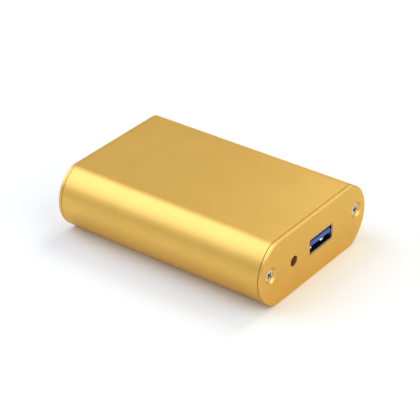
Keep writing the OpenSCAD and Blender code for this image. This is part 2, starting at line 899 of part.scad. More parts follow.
case_tube();
front_plate();
rear_plate();
front_screw_left();
front_screw_right();
rear_screw_left();
rear_screw_right();
main_board();
data_shell();
data_insulator();
data_contacts_short();
data_contacts_long();
data_springs_lower();
data_springs_upper();
video_shell();
video_insulator();
video_contacts_upper();
video_contacts_lower();
video_springs_lower();
video_springs_upper();
status_lamp();
lamp_leads();
receiver_chip();
receiver_leads();
controller_chip();
memory_chip();
memory_leads();
regulators();
regulator_leads();
receiver_crystal();
controller_crystal();
power_inductors();
reservoir_cans();
reservoir_bases();
chip_capacitors();
chip_resistors();
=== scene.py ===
import math

import bmesh
import bpy
from mathutils import Matrix, Vector


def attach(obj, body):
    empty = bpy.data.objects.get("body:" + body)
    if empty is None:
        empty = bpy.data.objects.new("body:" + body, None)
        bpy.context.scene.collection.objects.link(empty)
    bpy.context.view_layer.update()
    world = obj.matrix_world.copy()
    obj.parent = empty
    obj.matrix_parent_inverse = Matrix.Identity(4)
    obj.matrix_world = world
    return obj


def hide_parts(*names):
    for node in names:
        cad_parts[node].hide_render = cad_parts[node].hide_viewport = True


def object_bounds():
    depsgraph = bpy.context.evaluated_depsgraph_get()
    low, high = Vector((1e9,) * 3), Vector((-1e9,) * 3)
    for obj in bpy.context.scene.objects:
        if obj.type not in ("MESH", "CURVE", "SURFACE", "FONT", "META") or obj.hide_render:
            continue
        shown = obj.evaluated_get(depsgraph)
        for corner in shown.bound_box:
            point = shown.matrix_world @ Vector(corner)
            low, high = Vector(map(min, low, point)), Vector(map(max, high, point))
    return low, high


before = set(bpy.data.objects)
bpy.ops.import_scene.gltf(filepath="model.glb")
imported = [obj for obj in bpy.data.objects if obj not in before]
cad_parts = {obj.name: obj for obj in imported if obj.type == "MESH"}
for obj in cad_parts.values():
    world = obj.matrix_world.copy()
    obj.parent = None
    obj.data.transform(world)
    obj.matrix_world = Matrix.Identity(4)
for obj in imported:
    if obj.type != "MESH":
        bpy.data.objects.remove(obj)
cad_low, cad_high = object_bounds()

# The camera stands to the left of the front end and above it, with a long lens.
# Its place, turn and lens were fitted to the outline of the real box.
camera_azimuth = math.radians(-52.026)
camera_elevation = math.radians(31.577)
camera_roll = math.radians(-1.14)
camera_distance = 0.5442
camera_pan = (-0.00038, -0.00171)
camera_lens_px = 1604.35
image_px = 420
sensor_mm = 36
nearest_seen = 0.01

back = Vector((math.sin(camera_azimuth) * math.cos(camera_elevation),
               -math.cos(camera_azimuth) * math.cos(camera_elevation),
               math.sin(camera_elevation)))
level_right = Vector((math.cos(camera_azimuth), math.sin(camera_azimuth), 0))
level_up = back.cross(level_right)
right = level_right * math.cos(camera_roll) + level_up * math.sin(camera_roll)
up = level_up * math.cos(camera_roll) - level_right * math.sin(camera_roll)
eye = (cad_low + cad_high) / 2 + back * camera_distance + right * camera_pan[0] + up * camera_pan[1]
camera = bpy.data.objects.new("camera", bpy.data.cameras.new("camera"))
camera.data.sensor_width = sensor_mm
camera.data.lens = camera_lens_px / image_px * sensor_mm
camera.data.clip_start = nearest_seen
camera.matrix_world = Matrix((right, up, back)).transposed().to_4x4()
camera.location = eye
bpy.context.scene.collection.objects.link(camera)
bpy.context.scene.camera = camera
bpy.context.scene.view_settings.view_transform = "Standard"


# The studio: a white paper floor that runs off in all directions under a pale even sky.
# The paper is matt and reads as plain white, with a soft shade where the box stands on it.
def srgb(hex_colour):
    channels = [int(hex_colour[i:i + 2], 16) / 255 for i in (1, 3, 5)]
    return tuple(c / 12.92 if c <= 0.04045 else ((c + 0.055) / 1.055) ** 2.4 for c in channels) + (1,)


def add_node(tree, kind, settings=None, links=None):
    """Adds a shader node. Settings are properties or input values, links are inputs to output sockets."""
    made = tree.nodes.new(kind)
    for name, value in (settings or {}).items():
        if isinstance(name, str) and hasattr(made, name):
            setattr(made, name, value)
        else:
            made.inputs[name].default_value = value
    for name, output in (links or {}).items():
        tree.links.new(output, made.inputs[name])
    return made


def new_material(name):
    material = bpy.data.materials.new(name)
    material.use_nodes = True
    material.node_tree.nodes.clear()
    return material, material.node_tree


def seen_rays(tree):
    """One for the rays that look at the studio: from the camera, off metal and through glass."""
    rays = add_node(tree, "ShaderNodeLightPath")
    seen = add_node(tree, "ShaderNodeMath", {"operation": "ADD"},
                    {0: rays.outputs["Is Camera Ray"], 1: rays.outputs["Is Glossy Ray"]})
    return add_node(tree, "ShaderNodeMath", {"operation": "ADD", "use_clamp": True},
                    {0: seen.outputs["Value"], 1: rays.outputs["Is Transmission Ray"]}).outputs["Value"]


floor_half = 6.0
paper_lift = 0.05
far_paper_lift = 0.45
lamps_reach = (0.25, 1.5)
paper, tree = new_material("matt_white_paper")
paper_matt = add_node(tree, "ShaderNodeBsdfDiffuse", {"Color": srgb("#f6f3e8")})
# Out of the lamps' reach the paper is lifted to the paleness of the sky, so that it runs into it
place = add_node(tree, "ShaderNodeTexCoord")
from_box = add_node(tree, "ShaderNodeVectorMath", {"operation": "LENGTH"}, {0: place.outputs["Object"]})
lift = add_node(tree, "ShaderNodeMapRange",
                {"interpolation_type": "SMOOTHSTEP", "From Min": lamps_reach[0], "From Max": lamps_reach[1],
                 "To Min": paper_lift, "To Max": far_paper_lift}, {"Value": from_box.outputs["Value"]})
paper_glow = add_node(tree, "ShaderNodeEmission", links={"Strength": lift.outputs["Result"]})
paper_white = add_node(tree, "ShaderNodeAddShader",
                       links={0: paper_matt.outputs["BSDF"], 1: paper_glow.outputs["Emission"]})
paper_mix = add_node(tree, "ShaderNodeMixShader",
                     links={"Fac": seen_rays(tree), 1: paper_matt.outputs["BSDF"],
                            2: paper_white.outputs["Shader"]})
add_node(tree, "ShaderNodeOutputMaterial", links={"Surface": paper_mix.outputs["Shader"]})
bm = bmesh.new()
bmesh.ops.create_grid(bm, x_segments=1, y_segments=1, size=floor_half)
floor_mesh = bpy.data.meshes.new("paper_floor")
bm.to_mesh(floor_mesh)
bm.free()
floor = bpy.data.objects.new("paper_floor", floor_mesh)
floor.data.materials.append(paper)
bpy.context.scene.collection.objects.link(floor)

sky_for_light = 0.30
sky_as_seen = 0.70
world = bpy.data.worlds.new("pale_studio")
world.use_nodes = True
tree = world.node_tree
tree.nodes.clear()
sky_light = add_node(tree, "ShaderNodeBackground", {"Color": srgb("#ffffff"), "Strength": sky_for_light})
sky_seen = add_node(tree, "ShaderNodeBackground", {"Color": srgb("#ffffff"), "Strength": sky_as_seen})
sky_mix = add_node(tree, "ShaderNodeMixShader",
                   links={"Fac": seen_rays(tree), 1: sky_light.outputs["Background"],
                          2: sky_seen.outputs["Background"]})
add_node(tree, "ShaderNodeOutputWorld", links={"Surface": sky_mix.outputs["Shader"]})
bpy.context.scene.world = world


def add_softbox(name, towards, distance, size, radiance, tint="#ffffff"):
    """A square studio lamp that stands in a direction from the box and faces it."""
    lamp = bpy.data.lights.new(name, "AREA")
    lamp.shape = "SQUARE"
    lamp.color = srgb(tint)[:3]
    lamp.size = size
    lamp.energy = radiance * math.pi * size ** 2
    holder = bpy.data.objects.new(name, lamp)
    holder.location = Vector(towards).normalized() * distance
    holder.rotation_euler = Vector(towards).to_track_quat("Z", "Y").to_euler()
    bpy.context.scene.collection.objects.link(holder)


# Two cool lamps, one above and behind and a small one near the right side,
# and two white ones, in front and far off, high at the right
add_softbox("overhead_softbox", (-0.28, 0.56, 0.78), 0.60, 0.64, 2.4, "#cddcff")
add_softbox("near_end_softbox", (0.62, 0.02, 0.55), 0.36, 0.22, 1.1, "#d3e0ff")
add_softbox("front_softbox", (0.15, -0.80, 0.56), 0.80, 0.80, 1.75)
add_softbox("distant_softbox", (0.58, -0.06, 0.81), 1.50, 0.60, 4.9)


# The tube and both end plates: extruded and sawn aluminium, bead-blasted and anodised gold.
# Blasting leaves a fine even grain that spreads reflections, so the gold looks satin.
mm = 0.001


def pattern_scale(size_mm):
    """Texture scale at which a pattern in metres repeats at about a size in millimetres."""
    return 1 / (size_mm * mm)


blast_grain_mm = 0.35
blast_relief = 0.05 * mm
dye_cloud_mm = 14
gold, tree = new_material("anodised_aluminium_gold_blasted")
place = add_node(tree, "ShaderNodeTexCoord")
blast_grain = add_node(tree, "ShaderNodeTexNoise", {"Scale": pattern_scale(blast_grain_mm), "Detail": 3.0},
                       {"Vector": place.outputs["Object"]})
dye_cloud = add_node(tree, "ShaderNodeTexNoise", {"Scale": pattern_scale(dye_cloud_mm), "Detail": 2.0},
                     {"Vector": place.outputs["Object"]})
dye = add_node(tree, "ShaderNodeValToRGB", links={"Fac": dye_cloud.outputs["Fac"]})
dye.color_ramp.elements[0].position = 0.3
dye.color_ramp.elements[0].color = srgb("#d9ae54")
dye.color_ramp.elements[1].position = 0.7
dye.color_ramp.elements[1].color = srgb("#deb358")
satin = add_node(tree, "ShaderNodeMapRange", {"To Min": 0.36, "To Max": 0.46},
                 {"Value": blast_grain.outputs["Fac"]})
grain = add_node(tree, "ShaderNodeBump", {"Strength": 0.12, "Distance": blast_relief},
                 {"Height": blast_grain.outputs["Fac"]})
metal = add_node(tree, "ShaderNodeBsdfPrincipled",
                 {"Metallic": 1.0, "Specular Tint": srgb("#ffe4b4"), "Coat Weight": 0.35, "Coat IOR": 1.5,
                  "Coat Roughness": 0.3},
                 {"Base Color": dye.outputs["Color"], "Roughness": satin.outputs["Result"],
                  "Normal": grain.outputs["Normal"]})
add_node(tree, "ShaderNodeOutputMaterial", links={"Surface": metal.outputs["BSDF"]})


crease_angle = math.radians(50)


def finish_piece(bm, name, body, node, slot, *materials):
    """Turns a mesh into a piece that rides on a body, in place of a CAD node if one is given."""
    for face in bm.faces:
        face.smooth = True
    for edge in bm.edges:
        edge.smooth = not edge.is_manifold or edge.calc_face_angle() < crease_angle
    mesh = bpy.data.meshes.new(name)
    bm.to_mesh(mesh)
    bm.free()
    for material in materials:
        mesh.materials.append(material)
    piece = bpy.data.objects.new(name, mesh)
    weighted = piece.modifiers.new("flat_faces_stay_flat", "WEIGHTED_NORMAL")
    weighted.keep_sharp = True
    bpy.context.scene.collection.objects.link(piece)
    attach(piece, body)
    if node:
        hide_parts(node)
    return piece


merge_distance = 1e-6
flat_angle = math.radians(0.3)


def merged_copy(node):
    """A copy of a CAD node's mesh with its points merged and its flat faces joined up."""
    bm = bmesh.new()
    bm.from_mesh(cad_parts[node].data)
    bmesh.ops.remove_doubles(bm, verts=bm.verts, dist=merge_distance)
    bmesh.ops.dissolve_limit(bm, angle_limit=flat_angle, verts=bm.verts, edges=bm.edges)
    return bm


def ease_edges(bm, ease_mm, chosen=None, sharp_deg=18, clamp=True):
    """Breaks the sharp edges of a mesh, all of them or those that a test picks."""
    sharp = [e for e in bm.edges if len(e.link_faces) == 2
             and e.calc_face_angle() > math.radians(sharp_deg) and (chosen is None or chosen(e))]
    bmesh.ops.bevel(bm, geom=sharp, offset=ease_mm * mm, offset_type="OFFSET", segments=2,
                    profile=0.5, affect="EDGES", clamp_overlap=clamp, material=-1)


case_side_radius = 12.70 * mm
case_side_centre = 17.30 * mm
case_blend_radius = 7.0 * mm
case_blend_centre = (20.42 * mm, 4.82 * mm)
case_mid_height = (cad_low.z + cad_high.z) / 2
tube_end = 41.0 * mm
flat_slack = 0.01 * mm
arc_slack = 0.02 * mm


def on_outline(point):
    """Whether a point lies on the outer outline that the tube and the plates share."""
    x, z = abs(point.x), abs(point.z - case_mid_height)
    flat = abs(z - (cad_high.z - case_mid_height)) < flat_slack
    side = abs(math.hypot(x - case_side_centre, z) - case_side_radius) < arc_slack
    from_blend = math.hypot(x - case_blend_centre[0], z - case_blend_centre[1])
    return flat or side or abs(from_blend - case_blend_radius) < arc_slack


def on_seam(edge):
    """Whether an edge lies where the outline of a plate meets the tube."""
    return all(abs(abs(v.co.y) - tube_end) < flat_slack and on_outline(v.co) for v in edge.verts)


def along_tube(edge):
    """Whether an edge runs from front to rear."""
    return abs((edge.verts[0].co - edge.verts[1].co).normalized().y) > 0.99


bm = merged_copy("case_tube")
ease_edges(bm, 0.03, on_seam)
ease_edges(bm, 0.10, along_tube)
finish_piece(bm, "case_tube_eased", "case", "case_tube", "anodised_gold", gold)
# A plate's inner edge is filed back, which leaves a thin dark groove at the seam
seam_width = 0.25 * mm
seam_depth = 0.50 * mm
for end, outward in (("front", -1), ("rear", 1)):
    bm = merged_copy(end + "_plate")
    bmesh.ops.bisect_plane(bm, geom=bm.verts[:] + bm.edges[:] + bm.faces[:], plane_no=(0, 1, 0),
                           plane_co=(0, outward * (tube_end + seam_width), 0))
    bm.normal_update()
    for v in {v for e in bm.edges if on_seam(e) for v in e.verts}:
        v.co -= Vector((v.normal.x, 0, v.normal.z)).normalized() * seam_depth
    ease_edges(bm, 0.04)
    finish_piece(bm, end + "_plate_eased", end + "_cover", end + "_plate", "anodised_gold", gold)


# The four screws: countersunk machine screws of nickel-plated steel, which hold the plates on the tube.
# The heads are cold-headed with a tapering cross recess, and the threads are rolled.
grain_depth = 0.1


def grained_material(name, dark, light, grain_mm, roughness, bump, settings=None):
    """A material whose colour, gloss and relief all follow one grain, as deep as a share of its width."""
    material, tree = new_material(name)
    place = add_node(tree, "ShaderNodeTexCoord")
    grain = add_node(tree, "ShaderNodeTexNoise", {"Scale": pattern_scale(grain_mm), "Detail": 4.0},
                     {"Vector": place.outputs["Object"]})
    tone = add_node(tree, "ShaderNodeValToRGB", links={"Fac": grain.outputs["Fac"]})
    tone.color_ramp.elements[0].position = 0.3
    tone.color_ramp.elements[0].color = srgb(dark)
    tone.color_ramp.elements[1].position = 0.7
    tone.color_ramp.elements[1].color = srgb(light)
    gloss = add_node(tree, "ShaderNodeMapRange", {"To Min": roughness[0], "To Max": roughness[1]},
                     {"Value": grain.outputs["Fac"]})
    relief = add_node(tree, "ShaderNodeBump", {"Strength": bump, "Distance": grain_mm * grain_depth * mm},
                      {"Height": grain.outputs["Fac"]})
    surface = add_node(tree, "ShaderNodeBsdfPrincipled", settings,
                       {"Base Color": tone.outputs["Color"], "Roughness": gloss.outputs["Result"],
                        "Normal": relief.outputs["Normal"]})
    add_node(tree, "ShaderNodeOutputMaterial", links={"Surface": surface.outputs["BSDF"]})
    return material


# Dull bright plating, mottled by the tumbling barrel
screw_steel = grained_material("nickel_plated_screw_steel", "#b0a99b", "#e2dccf", 0.5, (0.26, 0.42), 0.35,
                               {"Metallic": 1.0})
# The walls of the recess, painted darker than the head as the shade that falls inside it
painted_shade_in_recess = grained_material("steel_with_painted_recess_shade", "#55524c", "#7d796f", 0.3, (0.45, 0.65), 0.35,
                                {"Metallic": 1.0})
screw_axis_x = 24.6 * mm
screw_axis_z = 12.8 * mm
screw_face = 41.84 * mm
screw_recess_span = 2.3 * mm
screw_recess_width = 0.55 * mm
screw_recess_depth = 0.7 * mm
# How far out the recess's inner corners lie, and the scale of each ring of its wall to the one above
screw_recess_root = 1.3
screw_recess_taper = (0.9, 0.45)
round_segments = 48
# Radius and depth of each ring, from the flat of the head over its cone to the tip
screw_rings = [(2.08, 0.0), (2.17, 0.03), (2.20, 0.10), (1.62, 0.68), (1.30, 0.68), (1.02, 0.80),
               (1.02, 6.60), (0.72, 7.00)]
thread_pitch = 0.45 * mm
thread_root = 0.98 * mm
thread_crest = 1.25 * mm
thread_start = 1.0 * mm
thread_turns = 12
thread_steps = 20
# Radius and place along the pitch of each corner of the rolled ridge
thread_ridge = ((thread_root, 0.05), (thread_crest, 0.45), (thread_crest, 0.55), (thread_root, 0.95))


def grown_ring(bm, ring, ratio, drop):
    """Extrudes a ring of edges to a new width and depth, and returns the new ring."""
    made = bmesh.ops.extrude_edge_only(bm, edges=ring)["geom"]
    points = {g for g in made if isinstance(g, bmesh.types.BMVert)}
    bmesh.ops.scale(bm, verts=list(points), vec=(ratio, ratio, 1))
    bmesh.ops.translate(bm, verts=list(points), vec=(0, 0, drop))
    return [g for g in made if isinstance(g, bmesh.types.BMEdge) and points.issuperset(g.verts)]


def cross_outline(bm, span, width, root):
    """Draws a flat cross round the origin, whose inner corners lie further out by a factor."""
    arm = [(span / 2, -width / 2), (span / 2, width / 2), (root * width / 2, root * width / 2)]
    corners = [bm.verts.new(Matrix.Rotation(math.radians(90 * turn), 3, "Z") @ Vector((x, y, 0)))
               for turn in range(4) for x, y in arm]
    return [bm.edges.new((corners[i - 1], corners[i])) for i in range(len(corners))]


def screw_mesh():
    """A screw on the Z axis with the face of its head at zero and its tip upwards."""
    bm = bmesh.new()
    bmesh.ops.create_circle(bm, segments=round_segments, radius=screw_rings[0][0] * mm)
    ring = list(bm.edges)
    recess = cross_outline(bm, screw_recess_span, screw_recess_width, screw_recess_root)
    bmesh.ops.triangle_fill(bm, use_beauty=True, edges=ring + recess)
    head_face = set(bm.faces)
    for ratio in screw_recess_taper:
        recess = grown_ring(bm, recess, ratio, screw_recess_depth / len(screw_recess_taper))
    bmesh.ops.contextual_create(bm, geom=recess)
    # Faces inside the recess take the second material, painted darker as shade
    for face in set(bm.faces) - head_face:
        face.material_index = 1
    for (radius, depth), (next_radius, next_depth) in zip(screw_rings, screw_rings[1:]):
        ring = grown_ring(bm, ring, next_radius / radius, (next_depth - depth) * mm)
    bmesh.ops.contextual_create(bm, geom=ring)
    profile = [bm.verts.new((radius, 0, thread_start + share * thread_pitch))
               for radius, share in thread_ridge]
    ridge = bm.faces.new(profile)
    bmesh.ops.spin(bm, geom=[ridge] + list(ridge.edges) + profile, cent=(0, 0, 0), axis=(0, 0, 1),
                   dvec=(0, 0, thread_pitch / thread_steps), angle=2 * math.pi * thread_turns,
                   steps=thread_turns * thread_steps)
    bmesh.ops.recalc_face_normals(bm, faces=bm.faces)
    return bm


# The turn at which each recess came to rest when its screw was driven home, in degrees
recess_turns = {("front", "left"): 45, ("front", "right"): 10, ("rear", "left"): 30, ("rear", "right"): 75}
for (end, side), turn in recess_turns.items():
    inward = 1 if end == "front" else -1
    across = screw_axis_x if side == "right" else -screw_axis_x
    bm = screw_mesh()
    bmesh.ops.rotate(bm, verts=bm.verts, matrix=Matrix.Rotation(math.radians(turn), 3, "Z"))
    bmesh.ops.rotate(bm, verts=bm.verts, matrix=Matrix.Rotation(math.radians(-90 * inward), 3, "X"))
    bmesh.ops.translate(bm, verts=bm.verts, vec=(across, -inward * screw_face, screw_axis_z))
    node = end + "_screw_" + side
    finish_piece(bm, node + "_threaded", end + "_fixing_" + side, node, "screw_steel", screw_steel,
                 painted_shade_in_recess)


# The status lamp: a three-millimetre lamp cast in dark red tinted epoxy, behind a hole in the front plate.
# The lens has a dull satin skin, and unlit it looks almost maroon.
# Dark tinted resin with a satin skin and a faint cloud of diffuser in it
red_epoxy = grained_material("tinted_epoxy_dark_red", "#441012", "#561718", 1.2, (0.30, 0.40), 0.05,
                             {"Specular IOR Level": 0.15})
lamp_axis = Vector((-11.9 * mm, 0, 11.8 * mm))
lamp_tip = -42.2 * mm
# Radius and depth behind the tip: the shallow crown, the straight side and the flange
lamp_outline = [(0, 0), (0.4, 0.02), (0.8, 0.09), (1.15, 0.20), (1.35, 0.29), (1.45, 0.38), (1.5, 0.52),
                (1.5, 4.3), (1.6, 4.4), (1.8, 4.4), (1.9, 4.5), (1.9, 5.3), (1.8, 5.4), (0, 5.4)]
lamp_steps = 40
bm = bmesh.new()
points = [bm.verts.new(lamp_axis + Vector((radius * mm, lamp_tip + depth * mm, 0)))
          for radius, depth in lamp_outline]
edges = [bm.edges.new(pair) for pair in zip(points, points[1:])]
bmesh.ops.spin(bm, geom=points + edges, cent=lamp_axis, axis=(0, 1, 0), angle=2 * math.pi, steps=lamp_steps,
               use_merge=True)
bmesh.ops.remove_doubles(bm, verts=bm.verts, dist=merge_distance)
bmesh.ops.recalc_face_normals(bm, faces=bm.faces)
finish_piece(bm, "status_lamp_cast", "board", "status_lamp", "red_lens", red_epoxy)


# The data socket: a folded shell of nickel-plated steel around a blue moulded block with a tongue.
# The shell's legs and the contacts' tails are soldered into the board. Its mouth fills the plate's opening.
def dressed_copy(node, body, slot, material, ease_mm, clamp=True):
    """A copy of a CAD node with its edges broken, in a material."""
    bm = merged_copy(node)
    ease_edges(bm, ease_mm, clamp=clamp)
    return finish_piece(bm, node + "_eased", body, node, slot, material)


# Rolled strip, smooth enough to mirror the dark inside of the socket, its colour painted darker than bright
# nickel as shade in the socket
socket_steel = grained_material("nickel_strip_steel_painted_shade", "#6c6c70", "#7c7c80", 0.8, (0.24, 0.34), 0.06,
                                {"Metallic": 1.0})
# The cut edge of the strip, torn by the press tool and left bare
cut_steel = grained_material("sheared_steel_edge", "#a89c80", "#bfb396", 0.15, (0.5, 0.7), 0.4,
                             {"Metallic": 1.0})
# Glass-filled moulded plastic, satin with faint flow marks
blue_plastic = grained_material("moulded_plastic_blue", "#2c4a98", "#3656a8", 0.9, (0.40, 0.52), 0.10)
# A thin flash of gold over nickel, slightly uneven
contact_gold = grained_material("gold_flashed_contact", "#c99a3e", "#dcb35c", 0.6, (0.18, 0.28), 0.05,
                                {"Metallic": 1.0})
socket_mouth = 42.4 * mm
socket_lip = 0.07 * mm


def socket_shell(node):
    """A shell whose cut edge at the mouth is a material of its own."""
    shell = dressed_copy(node, "board", "socket_steel", socket_steel, 0.06, clamp=False)
    shell.data.materials.append(cut_steel)
    for face in shell.data.polygons:
        if abs(abs(face.center.y) - socket_mouth) < socket_lip:
            face.material_index = 1


socket_shell("data_shell")
dressed_copy("data_insulator", "board", "blue_plastic", blue_plastic, 0.12)
dressed_copy("data_contacts_short", "board", "contact_gold", contact_gold, 0.05)
dressed_copy("data_contacts_long", "board", "contact_gold", contact_gold, 0.05)

# Springy strip, painted paler than plain steel so that its humps glint white in the dark socket: a real glint
# made brighter by painted highlight
spring_steel = grained_material("spring_steel_painted_highlight", "#e6e6e3", "#f4f4f1", 0.8, (0.22, 0.32), 0.06,
                                {"Metallic": 1.0})
# Depth behind the root and share of the hump's height, along a finger
finger_hump = [(0.0, 0.0), (0.05, 0.03), (0.10, 0.10), (0.15, 0.22), (0.45, 0.86), (0.55, 0.96), (0.68, 1.0),
               (0.9, 1.0), (1.3, 0.92), (2.2, 0.64), (3.2, 0.31), (4.0, 0.05), (4.2, 0.0)]
finger_lean = math.tan(math.radians(5.5))
finger_width = 2.0 * mm
finger_thickness = 0.2 * mm
finger_spacing = 7.0 * mm
finger_crown = 0.2 * mm
finger_root = 40.6 * mm
finger_cuts = 5


def spring_fingers(node, body, centre, height, hump_mm, inward, up):
    """A pair of spring fingers bent up over a hump, their roots on one line across a socket."""
    bm = bmesh.new()
    for side in (-0.5, 0.5):
        left = centre + side * finger_spacing - finger_width / 2
        line = [bm.verts.new((left, inward * (depth * mm - finger_root),
                              height + up * (depth * finger_lean + share * hump_mm) * mm))
                for depth, share in finger_hump]
        edges = [bm.edges.new(pair) for pair in zip(line, line[1:])]
        swept = bmesh.ops.extrude_edge_only(bm, edges=edges)["geom"]
        bmesh.ops.translate(bm, verts=[g for g in swept if isinstance(g, bmesh.types.BMVert)],
                            vec=(finger_width, 0, 0))
    ribs = [e for e in bm.edges if abs(e.verts[0].co.x - e.verts[1].co.x) > finger_width / 2]
    bmesh.ops.subdivide_edges(bm, edges=ribs, cuts=finger_cuts, use_grid_fill=True)
    for v in bm.verts:
        off_axis = (abs(v.co.x - centre) - finger_spacing / 2) / (finger_width / 2)
        lean = (inward * v.co.y + finger_root) * finger_lean
        share = (up * (v.co.z - height) - lean) / (hump_mm * mm)
        v.co.z -= up * finger_crown * share * off_axis ** 2
    # With all faces turned up the sheet thickens downwards, and half of that is lifted back
    bm.normal_update()
    bmesh.ops.reverse_faces(bm, faces=[f for f in bm.faces if f.normal.z < 0])
    bmesh.ops.solidify(bm, geom=bm.faces, thickness=finger_thickness)
    bmesh.ops.translate(bm, verts=bm.verts, vec=(0, 0, finger_thickness / 2))
    bmesh.ops.recalc_face_normals(bm, faces=bm.faces)
    ease_edges(bm, 0.04, sharp_deg=60)
    finish_piece(bm, node + "_humped", body, node, "socket_steel", spring_steel)


data_socket_x = 3.5 * mm
floor_fingers_z = 9.45 * mm
data_roof_fingers_z = 14.87 * mm
full_hump_mm = 0.8
low_hump_mm = 0.3
spring_fingers("data_springs_lower", "data_floor_springs", data_socket_x, floor_fingers_z, full_hump_mm, 1, 1)
spring_fingers("data_springs_upper", "data_roof_springs", data_socket_x, data_roof_fingers_z, low_hump_mm,
               1, -1)


# The video socket at the rear: the same plated steel around a black moulded block with a thin blade.
# Its nineteen contacts lie in two rows on the blade and end in feet on the board.
# Heat-proof moulded plastic, matt with a fine grain
black_plastic = grained_material("moulded_plastic_black", "#141416", "#222225", 0.35, (0.48, 0.62), 0.12)
socket_shell("video_shell")
dressed_copy("video_insulator", "board", "black_plastic", black_plastic, 0.08)
dressed_copy("video_contacts_upper", "board", "contact_gold", contact_gold, 0.03)
dressed_copy("video_contacts_lower", "board", "contact_gold", contact_gold, 0.03)
video_socket_x = 0.0
video_roof_fingers_z = 14.30 * mm
spring_fingers("video_springs_lower", "video_floor_springs", video_socket_x, floor_fingers_z, full_hump_mm,
               -1, 1)
spring_fingers("video_springs_upper", "video_roof_springs", video_socket_x, video_roof_fingers_z, full_hump_mm,
               -1, -1)


# The circuit board: glass-fibre laminate under a glossy green solder mask, which slides in slots of the tube.
# Copper tracks stand out faintly under the mask, and the routed edges show the bare laminate.
board_top = 9.3 * mm
board_under = 7.7 * mm
board_rim = 27 * mm
cloth_pitch_mm = 3.2
mask_flow_mm = 5
mask, tree = new_material("solder_mask_green")
place = add_node(tree, "ShaderNodeTexCoord")
# The weave of the glass cloth shows through the mask as a faint even relief
warp = add_node(tree, "ShaderNodeTexWave", {"bands_direction": "X", "Scale": pattern_scale(cloth_pitch_mm)},
                {"Vector": place.outputs["Object"]})
weft = add_node(tree, "ShaderNodeTexWave", {"bands_direction": "Y", "Scale": pattern_scale(cloth_pitch_mm)},
                {"Vector": place.outputs["Object"]})
weave = add_node(tree, "ShaderNodeMath", {"operation": "MULTIPLY"},
                 {0: warp.outputs["Fac"], 1: weft.outputs["Fac"]})
flow = add_node(tree, "ShaderNodeTexNoise", {"Scale": pattern_scale(mask_flow_mm), "Detail": 3.0},
                {"Vector": place.outputs["Object"]})
green = add_node(tree, "ShaderNodeValToRGB", links={"Fac": flow.outputs["Fac"]})
green.color_ramp.elements[0].position = 0.35
green.color_ramp.elements[0].color = srgb("#0c4a26")
green.color_ramp.elements[1].position = 0.65
green.color_ramp.elements[1].color = srgb("#13592e")
sheen = add_node(tree, "ShaderNodeMapRange", {"To Min": 0.22, "To Max": 0.34}, {"Value": flow.outputs["Fac"]})
cloth = add_node(tree, "ShaderNodeBump", {"Strength": 0.15, "Distance": 0.02 * mm},
                 {"Height": weave.outputs["Value"]})
skin = add_node(tree, "ShaderNodeBsdfPrincipled", {"Coat Weight": 0.5, "Coat Roughness": 0.15},
                {"Base Color": green.outputs["Color"], "Roughness": sheen.outputs["Result"],
                 "Normal": cloth.outputs["Normal"]})
add_node(tree, "ShaderNodeOutputMaterial", links={"Surface": skin.outputs["BSDF"]})
# Straw-coloured resin and glass, torn dull by the router
laminate = grained_material("routed_glass_laminate", "#8f8450", "#c2b783", 0.3, (0.6, 0.8), 0.4)
# Copper under the mask: the same green, lighter and a little raised
track_green = grained_material("copper_under_solder_mask", "#1b6f3c", "#247d46", 1.5, (0.24, 0.34), 0.05,
                               {"Coat Weight": 0.5, "Coat Roughness": 0.15})
bm = merged_copy("main_board")
for face in bm.faces:
    face.material_index = int(abs(face.normal.z) < 0.5)
ease_edges(bm, 0.04, lambda e: max(abs(v.co.x) for v in e.verts) > board_rim)
finish_piece(bm, "main_board_masked", "board", "main_board", "board_green", mask, laminate)

track_height = 0.035 * mm
via_radius = 0.35 * mm
via_bore = 0.175 * mm
small_round_segments = 16
# Tracks as width and corners in millimetres: the video lines and the bus between the chips,
# sixteen lanes each, then the data lines, the supply and some single lines
lanes = [i - 7.5 for i in range(16)]
tracks = [(0.3, [(i * 0.8, 22.0), (i * 0.8, 24.4), (i * 0.55, 26.0), (i * 0.55, 29.2)]) for i in lanes]
tracks += [(0.3, [(i * 0.8, 5.8), (i * 0.8, 3.2), (i * 0.55 + 1, 0.8), (i * 0.55 + 1, -8.2)]) for i in lanes]
tracks += [(0.3, [(3.5 + x * 0.8, -18.2), (3.5 + x * 0.8, -20.0), (3.5 + x, -21.2), (3.5 + x, -23.4)])
           for x in (-4, -3.5, -2, -1, 0, 1, 2, 3.5, 4)]
tracks += [(1.2, [(-16, -3.5), (-16, 2.0), (-11.5, 6.5), (-8.2, 6.5)]),
           (1.2, [(-13.4, -15.4), (-4.2, -15.4)]),
           (1.2, [(13.4, 18.9), (9.6, 18.9)]), (1.2, [(13.4, 7.9), (9.6, 7.9)]),
           (1.6, [(17.6, -16.4), (20.5, -12.0), (20.5, 5.0), (18.4, 7.9)]),
           (1.6, [(20.5, 5.0), (20.5, 16.0), (18.4, 18.9)]),
           (0.3, [(-15.5, 8.2), (-15.5, 5.5), (-12.0, 2.0), (-4.0, 2.0)]),
           (0.3, [(-9.5, -21.4), (-9.5, -17.0), (-4.2, -13.4)]), (0.3, [(10.9, -8.8), (6.2, -10.5)]),
           (0.3, [(10.9, -10.1), (6.2, -11.8)]), (0.3, [(-11.9, -33.0), (-11.9, -27.0), (-3.0, -18.6)])]
vias = [(x, y) for x in range(-24, 25, 6) for y in (-37, 33, 38) if abs(x) > 11]
vias += [(x, y) for x in (-24, 24) for y in range(-30, 31, 6)] + [(1 + 2 * i, 1.6) for i in range(-3, 4)]
bm = bmesh.new()
